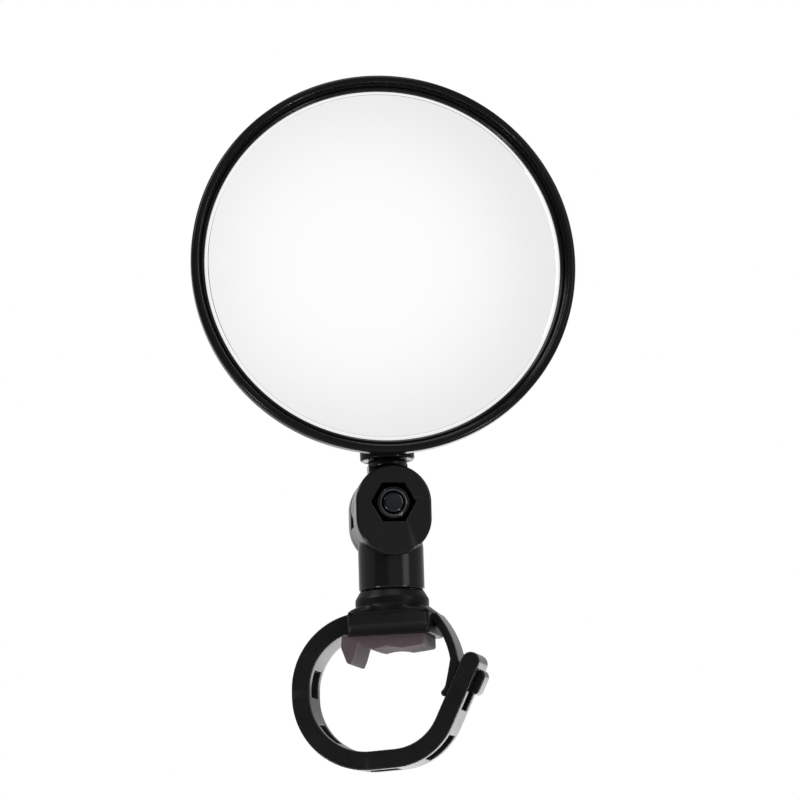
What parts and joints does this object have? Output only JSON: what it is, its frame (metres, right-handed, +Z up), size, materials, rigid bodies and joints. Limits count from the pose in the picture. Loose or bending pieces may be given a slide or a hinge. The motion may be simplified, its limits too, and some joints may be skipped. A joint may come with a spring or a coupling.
{
  "type": "bike mirror",
  "caption": "Round convex handlebar mirror on a tilting bolt knuckle and a swivel post, held by a hooked strap clamp with a rubber bar pad.",
  "frame": {"origin": "centre of the handlebar, at the middle of the strap's width", "axes": "+Y along the handlebar, +Z up the swivel post, the mirror faces -Y turned 20 degrees about Z"},
  "size_m": [0.0823, 0.0376, 0.155],
  "materials": {
    "case_plastic": "gloss",
    "frame_plastic": "satin",
    "strap_plastic": "satin",
    "pad_rubber": "matte",
    "mirror": "polished",
    "foam": "matte",
    "steel": "zinc plated",
    "black_steel": "black zinc",
    "nylon": "matte"
  },
  "bodies": {
    "clamp": {"saddle_base": "frame_plastic", "swivel_collar": "frame_plastic", "saddle_pad": "pad_rubber", "long_strap": "strap_plastic", "hook_tongue": "strap_plastic"},
    "lower_arm": {"swivel_post": "frame_plastic", "pivot_bolt": "black_steel", "pivot_washer": "steel", "pivot_nut": "black_steel", "nut_collar": "nylon", "swivel_screw": "steel", "swivel_washer": "steel"},
    "upper_arm": {"knuckle_tongue": "frame_plastic", "friction_washers": "nylon", "stem_screw": "steel", "stem_washer": "steel"},
    "mirror_head": {"mirror_case": "case_plastic", "retaining_ring": "case_plastic", "mirror_lens": "mirror", "foam_ring": "foam"}
  },
  "joints": [
    {"name": "post_swivel", "type": "hinge", "parent": "clamp", "child": "lower_arm", "pos_m": [0, 0, 0.024], "axis": [0, 0, 1], "continuous": true},
    {"name": "knuckle_tilt", "type": "hinge", "parent": "lower_arm", "child": "upper_arm", "pos_m": [0, 0, 0.0429], "axis": [0.342, -0.9397, 0], "range_deg": [-85, 85]},
    {"name": "mirror_turn", "type": "hinge", "parent": "upper_arm", "child": "mirror_head", "pos_m": [-0.00017, -0.00006, 0.0534], "axis": [-0.0164, -0.006, 0.9998], "continuous": true}
  ]
}
